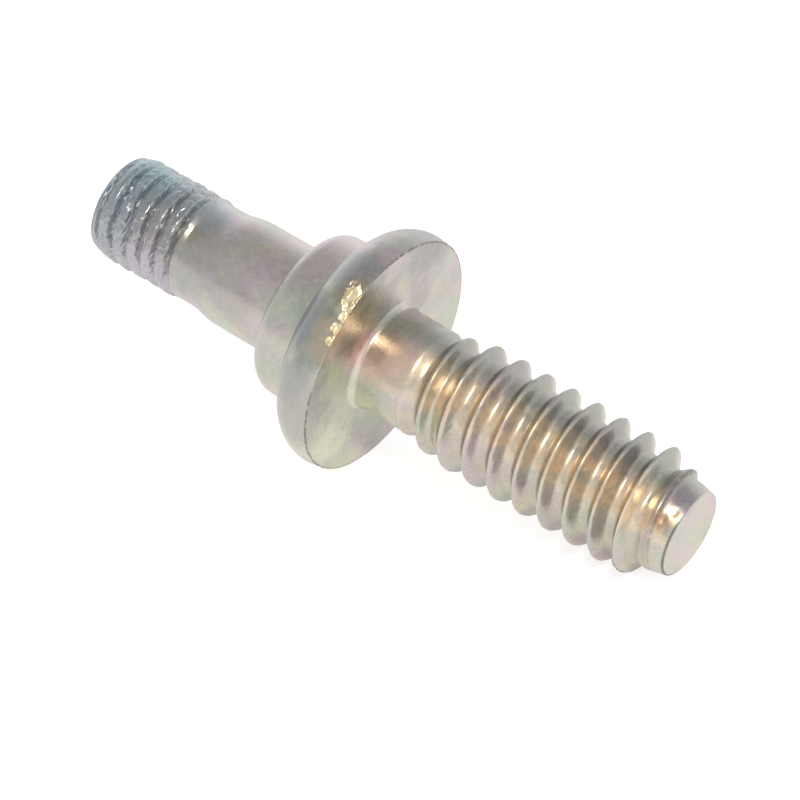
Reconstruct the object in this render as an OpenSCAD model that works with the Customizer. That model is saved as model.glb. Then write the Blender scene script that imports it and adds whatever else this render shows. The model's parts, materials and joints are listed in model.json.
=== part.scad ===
// Collar screw: a fine thread, a plain shank, a collar with a round seat flange, a neck and a coarse thread.
// Lengths along the screw are counted from the seat face, the flat front of the flange.

/* [Seat flange] */
// Widest diameter of the flange
flange_d = 17.6; // [16:0.1:22]
// How much smaller in radius the sharp edge of the seat face is
rim_flare = 0.13; // [0.05:0.01:0.18]
// Length of the flared rim, from the seat's edge to the widest place
rim_len = 1.01; // [0.9:0.01:1.6]
// Radius of the round from the rim to the flange's back
rim_back_r = 2.7; // [1:0.05:3]
// Slope of the flange's back, in degrees from square to the axis
back_slope = 22; // [5:1:40]

/* [Collar] */
// Diameter of the collar behind the flange
collar_d = 12.1; // [11.6:0.1:13]
// Distance from the seat face to the shoulder, the back face of the collar
shoulder_at = 7.05; // [6.2:0.05:10]
// Radius of the round between the shoulder and the collar
collar_round_r = 1.2; // [0.4:0.05:1.5]
// Radius of the hollow corner between the collar and the flange
collar_fillet_r = 0.3; // [0.1:0.05:0.6]

/* [Shank] */
// Diameter of the plain shank
shank_d = 8; // [7.9:0.02:8.6]
// Distance from the seat face to the end of the full shank
shank_end = 12.5; // [10.6:0.1:14]
// Radius of the fillet between the shank and the shoulder
shank_fillet_r = 0.2; // [0.1:0.05:0.35]
// Length of the taper from the shank down to the relief
taper_len = 1.5; // [0.6:0.1:3]
// Diameter of the relief beside the fine thread
relief_d = 7.34; // [7:0.02:7.5]
// Length of the relief
relief_len = 1.5; // [0.6:0.1:2]

/* [Fine thread] */
// Crest diameter of the fine thread
fine_d = 7.86; // [7.7:0.02:8]
// Root diameter of the fine thread
fine_root_d = 6.6; // [6.4:0.02:6.8]
// Pitch of the fine thread
fine_pitch = 1.25; // [1:0.05:1.5]
// Length of the fine thread
fine_len = 6.7; // [5:0.1:12]
// Length over which the fine thread rises out of the relief
fine_rise = 0.8; // [0.4:0.1:2]
// Turn of the fine thread about the axis, in degrees
fine_turn = 174; // [0:2:358]

/* [Fine end] */
// Length of the end chamfer
chamfer_len = 0.8; // [0.7:0.05:1.5]
// Diameter where the end chamfer starts
chamfer_d = 7.54; // [7.3:0.02:7.6]
// Diameter of the flat end face
fine_end_d = 7.06; // [6.8:0.02:7.2]

/* [Neck] */
// Diameter of the neck in front of the seat
neck_d = 7.54; // [7.2:0.02:7.8]
// Length of the neck, from the seat face to the start of the coarse thread
neck_len = 3.8; // [2:0.1:6]
// Radius of the fillet between the neck and the seat face
neck_fillet_r = 0.5; // [0.2:0.05:1]

/* [Coarse thread] */
// Crest diameter of the coarse thread
coarse_d = 9.1; // [8.6:0.05:10]
// Root diameter of its first turn, where it is deepest
first_root_d = 6.74; // [6.6:0.02:7]
// Root diameter past the first turn
coarse_root_d = 7.5; // [7:0.02:7.6]
// Root diameter at the tip, down to which the root tapers
last_root_d = 6.6; // [6.5:0.02:6.9]
// Pitch of the coarse thread
coarse_pitch = 2.04; // [1.6:0.02:2.4]
// Length of the coarse thread, from the neck to the tip
coarse_len = 20.2; // [16:0.1:30]
// Length over which the crest rises out of the neck
rise_len = 3.4; // [1:0.1:5]
// Length over which the root dips to that of the first turn, and rises from it again
dip_len = 0.8; // [0.5:0.1:3]
// Length from the neck to the end of the deep first turn
deep_len = 2.4; // [1:0.1:4]
// Length over which the crest falls to the tip
fall_len = 1.9; // [1:0.1:4]
// Turn of the coarse thread about the axis, in degrees
coarse_turn = 76; // [0:2:358]

/* [Tip] */
// Length of the tapered tip past the coarse thread
tip_len = 1.1; // [0.5:0.05:3]
// Diameter of the tip's flat end face
tip_d = 6.16; // [5.4:0.02:6.5]

/* [Hidden] */

// Steps round one turn, for the plain surfaces and for each thread
round_steps = 96;
coarse_steps = 36;
fine_steps = 32;
// Steps along a rounded corner
corner_steps = 6;
// How far a thread's core reaches into the plain part beside it
core_lap = 0.4;
// How far a thread's core stays inside the wall that it meets
core_gap = 0.02;
// A row nearer than this to an end of a thread is taken as lying on that end
snap = 0.02;

// Thread forms over one pitch, as [share of the pitch, share of the height]
coarse_form = [[0.38, 0], [0.54, 0.84], [0.58, 1], [0.66, 1], [0.7, 0.84], [0.86, 0]];
fine_form = [[0, 0], [0.12, 0], [0.5, 1], [0.62, 1]];
// The two edges of the coarse crest, as shares of the pitch
crest_edges = [0.58, 0.66];

// v held between 0 and 1
function share(v) = min(1, max(0, v));

// Points on an arc about [x, y], from one angle to another
function arc(x, y, r, from, to) = [
    for (i = [0 : corner_steps])
        let (a = from + (to - from) * i / corner_steps)
        [x + r * cos(a), y + r * sin(a)]
];

flange_r = flange_d / 2;
seat_r = flange_r - rim_flare;
collar_r = collar_d / 2;
shank_r = shank_d / 2;
relief_r = relief_d / 2;
fine_r = fine_d / 2;
fine_root_r = fine_root_d / 2;
chamfer_r = chamfer_d / 2;
fine_end_r = fine_end_d / 2;
neck_r = neck_d / 2;
coarse_r = coarse_d / 2;
first_root_r = first_root_d / 2;
coarse_root_r = coarse_root_d / 2;
last_root_r = last_root_d / 2;
tip_r = tip_d / 2;

relief_at = shank_end + taper_len;
fine_start = relief_at + relief_len;
chamfer_at = fine_start + fine_len;
fine_end = chamfer_at + chamfer_len;
tip_start = neck_len + coarse_len;
tip_end = tip_start + tip_len;

// Root and crest radii along each threaded rod, as [place along the rod, radius]
coarse_rod_len = coarse_len + 2 * core_lap;
coarse_root = [
    [core_lap, neck_r - core_gap],
    [core_lap + dip_len, first_root_r],
    [core_lap + deep_len, first_root_r],
    [core_lap + deep_len + dip_len, coarse_root_r],
    [core_lap + coarse_len, last_root_r],
    [coarse_rod_len, tip_r - core_gap]
];
coarse_crest = [
    [core_lap, neck_r - core_gap],
    [core_lap + rise_len, coarse_r],
    [core_lap + coarse_len - fall_len, coarse_r],
    [core_lap + coarse_len, last_root_r],
    [coarse_rod_len, tip_r - core_gap]
];
fine_rod_len = fine_len + 2 * core_lap;
fine_root = [
    [core_lap, relief_r - core_gap],
    [core_lap + fine_rise, fine_root_r],
    [core_lap + fine_len, fine_root_r],
    [fine_rod_len, fine_root_r - core_gap]
];
fine_crest = [
    [core_lap, relief_r - core_gap],
    [core_lap + fine_rise, fine_r],
    [fine_len, fine_r],
    [core_lap + fine_len, fine_root_r],
    [fine_rod_len, fine_root_r - core_gap]
];

// Where the flange's back leaves its round, and where its slope meets the collar
round_end_r = flange_r - rim_back_r * (1 - sin(back_slope));
round_end = rim_len + rim_back_r * cos(back_slope);
back_foot = round_end + (round_end_r - collar_r) * tan(back_slope);
// Distance from that meeting to the start of its fillet
fillet_cut = collar_fillet_r * tan((90 - back_slope) / 2);

// Corners of the coarse crest beside the underside, as [place, depth below the axis]
crest_corners = [
    for (k = [0 : ceil(coarse_len / coarse_pitch)], edge = crest_edges, side = [-0.5, 0.5])
        let (z = coarse_pitch * (k + edge + side / coarse_steps - coarse_turn / 360),
             s = neck_len - core_lap + z)
        if (s > neck_len + rise_len && s < tip_start)
            [s, lookup(z, coarse_crest) * cos(180 / coarse_steps)]
];

// The screw lies on the seat's edge and on the corner of the crest that meets the ground first
rest_tilt = min([for (c = crest_corners) atan((seat_r - c[1]) / c[0])]);
rest_height = seat_r * cos(rest_tilt);
low_x = -fine_end * cos(rest_tilt) - fine_end_r * sin(rest_tilt);
high_x = tip_end * cos(rest_tilt) + tip_r * sin(rest_tilt);

// A rod along +Z with a right-hand thread, whose root and crest radii are looked up along its length
module threaded_rod(length, pitch, form, root, crest, steps, turn)
{
    rows = len(form);
    last = rows * (ceil(length / pitch) + 3);
    // The underside has the middle of a step, so that the rod rests on two corners of its crest
    function level(i, j) =
        pitch * (floor(j / rows) - 2 + form[j % rows][0] + (i + 0.5) / steps - turn / 360);
    function radius(z, height) = (1 - height) * lookup(z, root) + height * lookup(z, crest);
    function ring_point(i, z, r) = [r * cos(360 * (i + 0.5) / steps), r * sin(360 * (i + 0.5) / steps), z];
    // Rows past an end share the points of that end's ring
    function index(i, j) =
        let (z = level(i, j)) z < snap ? i : z > length - snap ? steps + i : 2 * steps + i * (last + 1) + j;
    function corner(i, j) = i == steps ? index(0, min(j + rows, last)) : index(i, j);
    points = [
        for (i = [0 : steps - 1]) ring_point(i, 0, radius(0, 0)),
        for (i = [0 : steps - 1]) ring_point(i, length, radius(length, 0)),
        for (i = [0 : steps - 1]) for (j = [0 : last])
            let (z = length * share(level(i, j) / length))
            ring_point(i, z, radius(z, form[j % rows][1]))
    ];
    sides = [
        for (i = [0 : steps - 1]) for (j = [0 : last - 1])
            let (a = corner(i, j), b = corner(i + 1, j), c = corner(i + 1, j + 1), d = corner(i, j + 1))
            each [[a, d, c], [a, c, b]]
    ];
    polyhedron(points, [
        [for (i = [0 : steps - 1]) i],
        [for (i = [1 : steps]) 2 * steps - i],
        for (f = sides) if (f[0] != f[1] && f[1] != f[2] && f[2] != f[0]) f
    ]);
}

// Half section of the plain middle, from the relief to the neck, as [radius, place]
middle_outline = [
    [0, -fine_start],
    [relief_r, -fine_start],
    [relief_r, -relief_at],
    [shank_r, -shank_end],
    each arc(shank_r + shank_fillet_r, -shoulder_at - shank_fillet_r, shank_fillet_r, 180, 90),
    each arc(collar_r - collar_round_r, collar_round_r - shoulder_at, collar_round_r, -90, 0),
    each arc(collar_r + collar_fillet_r, -back_foot - fillet_cut, collar_fillet_r, 180, 90 + back_slope),
    each arc(flange_r - rim_back_r, -rim_len, rim_back_r, back_slope - 90, 0),
    [seat_r, 0],
    each arc(neck_r + neck_fillet_r, neck_fillet_r, neck_fillet_r, 270, 180),
    [neck_r, neck_len],
    [0, neck_len]
];

module middle() rotate_extrude($fn = round_steps) polygon(middle_outline);

module coarse_thread()
    translate([0, 0, neck_len - core_lap])
        threaded_rod(coarse_rod_len, coarse_pitch, coarse_form, coarse_root, coarse_crest,
            coarse_steps, coarse_turn);

module tip()
    rotate_extrude($fn = round_steps)
        polygon([[0, tip_start], [last_root_r, tip_start], [tip_r, tip_end], [0, tip_end]]);

// The fine thread is built along +Z and turned end for end, which keeps it right-handed
module fine_thread()
    rotate([180, 0, 0])
        translate([0, 0, fine_start - core_lap])
            threaded_rod(fine_rod_len, fine_pitch, fine_form, fine_root, fine_crest,
                fine_steps, fine_turn);

module fine_end_chamfer()
    rotate_extrude($fn = round_steps)
        polygon([[0, -fine_end], [fine_end_r, -fine_end], [chamfer_r, -chamfer_at], [0, -chamfer_at]]);

module collar_screw()
    color([0.74, 0.72, 0.68])
        translate([-(low_x + high_x) / 2, 0, rest_height])
            rotate([0, 90 + rest_tilt, 0])
                union() {
                    middle();
                    coarse_thread();
                    tip();
                    fine_thread();
                    fine_end_chamfer();
                }

collar_screw();
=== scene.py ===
"""Visual model of a zinc-plated collar screw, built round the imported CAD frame.

The screw is one turned and rolled piece: a fine thread, a plain shank, a collar with a round seat
flange, a neck and a coarse thread. Lengths along it are in millimetres from the seat face, positive
towards the coarse thread, and angles round it are in degrees from the side that it lies on.
"""

import json
import logging
import math
from collections.abc import Callable
from dataclasses import dataclass, field
from enum import Enum

import bpy
import numpy as np
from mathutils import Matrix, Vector, noise

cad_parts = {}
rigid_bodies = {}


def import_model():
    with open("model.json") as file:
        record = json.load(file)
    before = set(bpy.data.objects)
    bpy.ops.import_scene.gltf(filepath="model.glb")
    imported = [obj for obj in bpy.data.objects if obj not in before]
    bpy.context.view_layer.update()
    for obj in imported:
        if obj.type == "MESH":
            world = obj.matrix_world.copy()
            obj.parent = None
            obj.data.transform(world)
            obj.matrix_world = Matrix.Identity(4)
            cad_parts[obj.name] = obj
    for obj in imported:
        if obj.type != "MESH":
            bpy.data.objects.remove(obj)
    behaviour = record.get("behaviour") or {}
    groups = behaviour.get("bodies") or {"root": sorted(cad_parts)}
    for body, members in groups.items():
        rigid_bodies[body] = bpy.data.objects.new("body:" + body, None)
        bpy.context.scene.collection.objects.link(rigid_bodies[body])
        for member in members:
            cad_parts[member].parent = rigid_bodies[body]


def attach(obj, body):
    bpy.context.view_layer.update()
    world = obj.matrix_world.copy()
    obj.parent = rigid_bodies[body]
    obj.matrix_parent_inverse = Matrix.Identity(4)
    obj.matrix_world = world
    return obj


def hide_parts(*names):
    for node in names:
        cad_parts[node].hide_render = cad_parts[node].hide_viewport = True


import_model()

log = logging.getLogger("collar_screw")
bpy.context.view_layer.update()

MM = 0.001
COLUMNS = 192
Colour = tuple[float, float, float]
Outline = list[tuple[float, float]]
Values = np.ndarray | float
Socket = bpy.types.NodeSocket
# Scale, detail and roughness of a noise
Pattern = tuple[float, float, float]
# Where a mask is empty and where it is full
Limits = tuple[float, float]


def share(value: Values) -> Values:
    """Holds a value between 0 and 1."""
    return np.clip(value, 0.0, 1.0)


def soft_min(a: Values, b: Values, reach: float) -> Values:
    """Takes the smaller of two values, with a round as far as reach from where they cross."""
    near = np.maximum(reach - np.abs(a - b), 0.0) / reach
    return np.minimum(a, b) - near * near * reach / 4


def arc(radius_at: float, place_at: float, size: float, start: float, end: float, steps: int) -> Outline:
    """Lists points on an arc of the section, where 0 degrees is outwards and 90 to the coarse end."""
    turns = np.radians(np.linspace(start, end, steps + 1))
    return [(radius_at + size * math.cos(t), place_at + size * math.sin(t)) for t in turns]


def line(start: tuple[float, float], end: tuple[float, float], steps: int) -> Outline:
    """Lists points on a straight line of the section, as radius and place, without the first."""
    return [tuple(a + (b - a) * k / steps for a, b in zip(start, end)) for k in range(1, steps + 1)]


def both_sides(offsets: tuple[float, ...]) -> tuple[float, ...]:
    """Mirrors the offsets of a thread's rows to the other side of the crest."""
    return tuple(-v for v in reversed(offsets)) + offsets


# How steep a nick's sides are, where 1 gives a bell
NICK_STEEPNESS = 1.5


@dataclass(frozen=True)
class Nick:
    """A small dent or scrape, as a round-sided hollow.

    Attributes:
        place: Where its middle is along the screw, in mm.
        angle: Where its middle is round the screw, in degrees.
        along: Its half length along the screw, in mm.
        around: Its half length round the screw, in mm.
        depth: How deep it goes, in mm.
    """

    place: float
    angle: float
    along: float
    around: float
    depth: float

    def cut(self, place: np.ndarray, angle: np.ndarray, radius: np.ndarray) -> np.ndarray:
        """Gives how deep the nick is at each point.

        Args:
            place: Places along the screw, in mm.
            angle: Angles round it, in degrees.
            radius: Distances from its axis, in mm.

        Returns:
            Depths in mm.
        """
        away = np.radians((angle - self.angle + 180.0) % 360.0 - 180.0) * radius / self.around
        off = (place - self.place) / self.along
        return self.depth * np.exp(-(away * away + off * off) ** NICK_STEEPNESS)


@dataclass
class Skin:
    """The screw's surface, as rings of points joined by quads from the fine end to the coarse end."""

    columns: int = COLUMNS
    angles: list[np.ndarray] = field(default_factory=list)
    radii: list[np.ndarray] = field(default_factory=list)
    places: list[np.ndarray] = field(default_factory=list)
    faces: list[tuple[int, ...]] = field(default_factory=list)
    count: int = 0
    last_ring: list[int] | None = None

    def add_points(self, radii: np.ndarray, places: np.ndarray, angles: np.ndarray) -> int:
        """Adds points.

        Args:
            radii: Their distances from the axis, in mm.
            places: Their places along the screw, in mm.
            angles: Their angles round it, in degrees.

        Returns:
            The number of the first.
        """
        first = self.count
        self.radii.append(np.asarray(radii, float))
        self.places.append(np.asarray(places, float))
        self.angles.append(np.asarray(angles, float))
        self.count += len(radii)
        return first

    def ring(self, radius: float, place: float) -> list[int]:
        """Adds a plain ring.

        Args:
            radius: Its radius, in mm.
            place: Its place, in mm.

        Returns:
            The numbers of its points.
        """
        n = self.columns
        first = self.add_points(np.full(n, radius), np.full(n, place), np.arange(n) * 360.0 / n)
        return list(range(first, first + n))

    def join(self, ring: list[int]) -> None:
        """Joins the last ring to another with quads, and takes that as the last ring.

        Args:
            ring: The numbers of its points.
        """
        if self.last_ring is not None:
            for i in range(self.columns):
                k = (i + 1) % self.columns
                self.face(self.last_ring[i], self.last_ring[k], ring[k], ring[i])
        self.last_ring = ring

    def face(self, *corners: int) -> None:
        """Adds a face, leaving out repeated corners.

        Args:
            corners: The numbers of its points.
        """
        kept = [c for j, c in enumerate(corners) if c != corners[j - 1]]
        if len(set(kept)) == len(kept) and len(kept) > 2:
            self.faces.append(tuple(kept))

    def follow(self, outline: Outline) -> None:
        """Adds a plain ring for each point of a section's outline."""
        for radius, place in outline:
            self.join(self.ring(radius, place))

    def tip(self, place: float) -> None:
        """Closes or opens the surface with one point on the axis."""
        centre = self.add_points(np.zeros(1), np.array([place]), np.zeros(1))
        self.join([centre] * self.columns)

    def arrays(self) -> tuple[np.ndarray, np.ndarray, np.ndarray]:
        """Returns every point's radius, place and angle."""
        return np.concatenate(self.radii), np.concatenate(self.places), np.concatenate(self.angles)


@dataclass
class RolledThread:
    """A right-hand thread whose rows of points follow its helix.

    Attributes:
        pitch: Its pitch, in mm.
        crest_at: Place of one crest at angle 0, in mm.
        root_half: Half the width of the flat root, as a share of the pitch.
        crest_half: Half the width of the crest at nine tenths of the height, as a share of the pitch.
        round_by: How far the corners of the crest are rounded, as a share of the height.
        foot_round: How far the hollow corners at the root are rounded, as a share of the height.
        rows: Offsets of the rows from the crest, as shares of the pitch, rising.
        snap: How near to a ring a row ends on it, in mm.
        shoulder: The height of the crest's edges, as a share of the full height.
        edge_slope: How steeply the crest's line goes on beyond its edges.
        narrowing: How much of its width the crest loses where it is sharpest.
    """

    pitch: float
    crest_at: float
    root_half: float
    crest_half: float
    round_by: float
    foot_round: float
    rows: tuple[float, ...]
    snap: float = 0.012
    shoulder: float = 0.9
    edge_slope: float = 2.0
    narrowing: float = 0.8

    def form(self, offset: np.ndarray, sharp: Values = 0.0) -> np.ndarray:
        """Gives the height of the thread's form.

        Args:
            offset: Distance from the crest, as a share of the pitch.
            sharp: How far the crest narrows towards a plain ridge, from 0 to 1.

        Returns:
            Height as a share of the full height.
        """
        away = np.abs(offset)
        half = self.crest_half * (1.0 - self.narrowing * sharp)
        foot = 0.5 - self.root_half
        flank = self.shoulder * (foot - away) / (foot - half)
        crown = 1.0 - (1.0 - self.shoulder) * (away / half) ** 2
        top = np.where(away < half, crown, self.shoulder + (half - away) * self.edge_slope)
        top = soft_min(flank, top, self.round_by)
        return -soft_min(-top, 0.0, self.foot_round)

    def build(self, skin: Skin, end_ring: list[int], start: float, end: float,
              shape: Callable[[np.ndarray, np.ndarray], np.ndarray]) -> None:
        """Fills the surface between the last ring and another with helical rows.

        Args:
            skin: The surface.
            end_ring: The ring that the thread runs up to.
            start: Place of the last ring, in mm.
            end: Place of the end ring, in mm.
            shape: Gives the radius for arrays of place and offset.
        """
        n, m = skin.columns, len(self.rows)
        first_turn = math.floor((start - self.crest_at) / self.pitch) - 2
        turns = math.ceil((end - start) / self.pitch) + 4
        offsets = np.tile(np.array(self.rows), turns)
        base = self.crest_at + self.pitch * (first_turn + np.repeat(np.arange(turns), m) + offsets)
        places = base[:, None] + self.pitch * (np.arange(n) * 360.0 / n)[None, :] / 360.0
        offsets = np.broadcast_to(offsets[:, None], places.shape)
        angles = np.broadcast_to(np.arange(n) * 360.0 / n, places.shape)
        inside = (places > start + self.snap) & (places < end - self.snap)
        numbers = np.where(places <= start + self.snap, -1, -2)
        radius = shape(places, offsets)
        first = skin.add_points(radius[inside], places[inside], angles[inside])
        numbers[inside] = np.arange(first, first + int(inside.sum()))
        start_ring, total = skin.last_ring, turns * m

        def number(row: int, column: int) -> int:
            """Looks up a point, with rows past an end on that end's ring.

            Args:
                row: Its row.
                column: Its column, which may go on past a full turn.

            Returns:
                Its number.
            """
            turn, column = divmod(column, n)
            row = min(row + turn * m, total - 1)
            known = int(numbers[row, column])
            return {-1: start_ring, -2: end_ring}[known][column] if known < 0 else known

        for row in range(total - 1):
            if not inside[row].any() and not inside[row + 1].any():
                continue
            for i in range(n):
                skin.face(number(row, i), number(row, i + 1), number(row + 1, i + 1), number(row + 1, i))
        skin.last_ring = end_ring


# Radius at which unevenness has its stated size, in mm
WAVE_RADIUS = 4.2


def wave(place: np.ndarray, angle: np.ndarray, size: float, seed: float) -> np.ndarray:
    """Gives smooth unevenness over the surface, from -1 to 1.

    Args:
        place: Places along the screw, in mm.
        angle: Angles round it, in degrees.
        size: Size of the unevenness, in mm.
        seed: Moves the pattern.

    Returns:
        One value for each point.
    """
    turn = np.radians(angle)
    x, y = WAVE_RADIUS * np.cos(turn) / size, WAVE_RADIUS * np.sin(turn) / size
    return np.array([noise.noise(Vector((a, b, c + seed))) for a, b, c in zip(x, y, place / size)])


@dataclass
class FineEnd:
    """The end face, its chamfer and the fine thread, up to the relief."""

    fine_d: float = 7.86
    fine_root_d: float = 6.6
    pitch: float = 1.25
    thread_len: float = 6.7
    rise: float = 0.8
    turn: float = 174.0
    chamfer_len: float = 0.8
    chamfer_d: float = 7.54
    end_d: float = 7.06
    relief_d: float = 7.34
    start: float = 15.5
    lap: float = 0.4
    form_mid: float = 0.56
    edge_r: float = 0.1
    # Rings on the end face, as shares of its radius
    face_rings: tuple[float, ...] = (0.2, 0.45, 0.7, 0.85, 0.93)
    rows: tuple[float, ...] = both_sides((0.04, 0.09, 0.14, 0.2, 0.27, 0.34, 0.41, 0.47))
    # How far the thread's form is rounded into the chamfer, and the length over which it rises out of it
    chamfer_round: float = 0.08
    chamfer_rise: float = 0.3
    # Wear of the crests: everywhere, in broad patches and in small ones, with the depth of each
    worn_all: float = 0.04
    worn_broad: float = 0.1
    worn_small: float = 0.06
    # Distance from the axis at which nicks start, and the height over which they reach their depth
    nick_from: float = 3.4
    nick_fade: float = 0.3
    nicks: tuple[Nick, ...] = (
        Nick(-20.9, 205, 0.22, 0.5, 0.16), Nick(-20.7, 217, 0.2, 0.35, 0.12),
        Nick(-19.6, 256, 0.2, 0.6, 0.14), Nick(-18.3, 257, 0.25, 0.5, 0.12),
        Nick(-21.1, 262, 0.2, 0.4, 0.12), Nick(-19.5, 60, 0.3, 0.6, 0.12),
        Nick(-17.2, 120, 0.25, 0.5, 0.1), Nick(-22.6, 235, 0.3, 0.5, 0.1),
    )

    def build(self, skin: Skin) -> None:
        """Adds the end face, chamfer and thread to the surface.

        Args:
            skin: The surface.
        """
        end, chamfer = -(self.start + self.thread_len + self.chamfer_len), -(self.start + self.thread_len)
        end_r, chamfer_r, root_r = self.end_d / 2, self.chamfer_d / 2, self.fine_root_d / 2
        slope = math.degrees(math.atan2(chamfer_r - end_r, chamfer - end))
        skin.tip(end)
        skin.follow([(end_r * k, end) for k in self.face_rings])
        r = self.edge_r
        back = r * math.tan(math.radians(90 - slope) / 2)
        edge = arc(end_r - back, end + r, r, -90, -slope, 4)
        skin.follow(edge)
        cone_from = edge[-1][1]
        crest_at = -(self.start - self.lap) - self.pitch * (self.form_mid - self.turn / 360)
        thread = RolledThread(self.pitch, crest_at, root_half=0.02, crest_half=0.25, round_by=0.2,
                              foot_round=0.55, rows=self.rows)
        crest_r, relief_r = self.fine_d / 2, self.relief_d / 2

        def shape(place: np.ndarray, offset: np.ndarray) -> np.ndarray:
            """Gives the thread's radius, under the cone of the end chamfer.

            Args:
                place: Places along the screw, in mm.
                offset: Distances from the crest, as shares of the pitch.

            Returns:
                Radii in mm.
            """
            risen = share((-self.start - place) / self.rise)
            root = relief_r + (root_r - relief_r) * risen
            crest = relief_r + (crest_r - relief_r) * risen
            cone = edge[-1][0] + (chamfer_r - edge[-1][0]) * (place - cone_from) / (chamfer - cone_from)
            cut = soft_min(root + (crest - root) * thread.form(offset), cone, self.chamfer_round)
            return cone + (cut - cone) * share((place - cone_from) / self.chamfer_rise)

        end_ring = skin.ring(relief_r, -self.start)
        thread.build(skin, end_ring, cone_from, -self.start, shape)

    def wear(self, radius: np.ndarray, place: np.ndarray, angle: np.ndarray) -> np.ndarray:
        """Flattens the thread's crests unevenly and cuts its nicks.

        Args:
            radius: Distances from the axis, in mm.
            place: Places along the screw, in mm.
            angle: Angles round it, in degrees.

        Returns:
            The worn distances.
        """
        broad = share(0.5 + 0.9 * wave(place, angle, size=1.6, seed=3.0))
        small = share(wave(place, angle, size=0.45, seed=5.0) + 0.2)
        top = self.fine_d / 2 - self.worn_all - self.worn_broad * broad
        top = top - self.worn_small * small
        worn = np.where(radius > self.relief_d / 2, np.minimum(radius, top), radius)
        for nick in self.nicks:
            worn = worn - nick.cut(place, angle, radius) * share((radius - self.nick_from) / self.nick_fade)
        return worn


@dataclass
class Shank:
    """The relief, its taper and the plain shank, up to the fillet of the shoulder."""

    shank_d: float = 8.0
    relief_d: float = 7.34
    shank_end: float = 12.5
    taper_len: float = 1.5
    corner_r: float = 0.6

    def build(self, skin: Skin, shoulder_at: float, fillet_r: float) -> None:
        """Adds the relief, taper and shank to the surface.

        Args:
            skin: The surface.
            shoulder_at: Distance from the seat face to the shoulder, in mm.
            fillet_r: Radius of the fillet at the shoulder, in mm.
        """
        shank_r, relief_r = self.shank_d / 2, self.relief_d / 2
        relief_at, shank_at = -(self.shank_end + self.taper_len), -self.shank_end
        places = np.concatenate([
            np.linspace(relief_at - 1.2, relief_at - 0.5, 4),
            np.linspace(relief_at - 0.4, shank_at + 0.6, 18),
            np.linspace(shank_at + 0.9, -shoulder_at - fillet_r - 0.2, 8),
        ])
        slope = (shank_r - relief_r) / self.taper_len
        taper = relief_r + slope * (places - relief_at)
        round_by = self.corner_r * slope
        radii = soft_min(-soft_min(-taper, -relief_r, round_by), shank_r, round_by)
        skin.follow(list(zip(radii.tolist(), places.tolist())))


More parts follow.
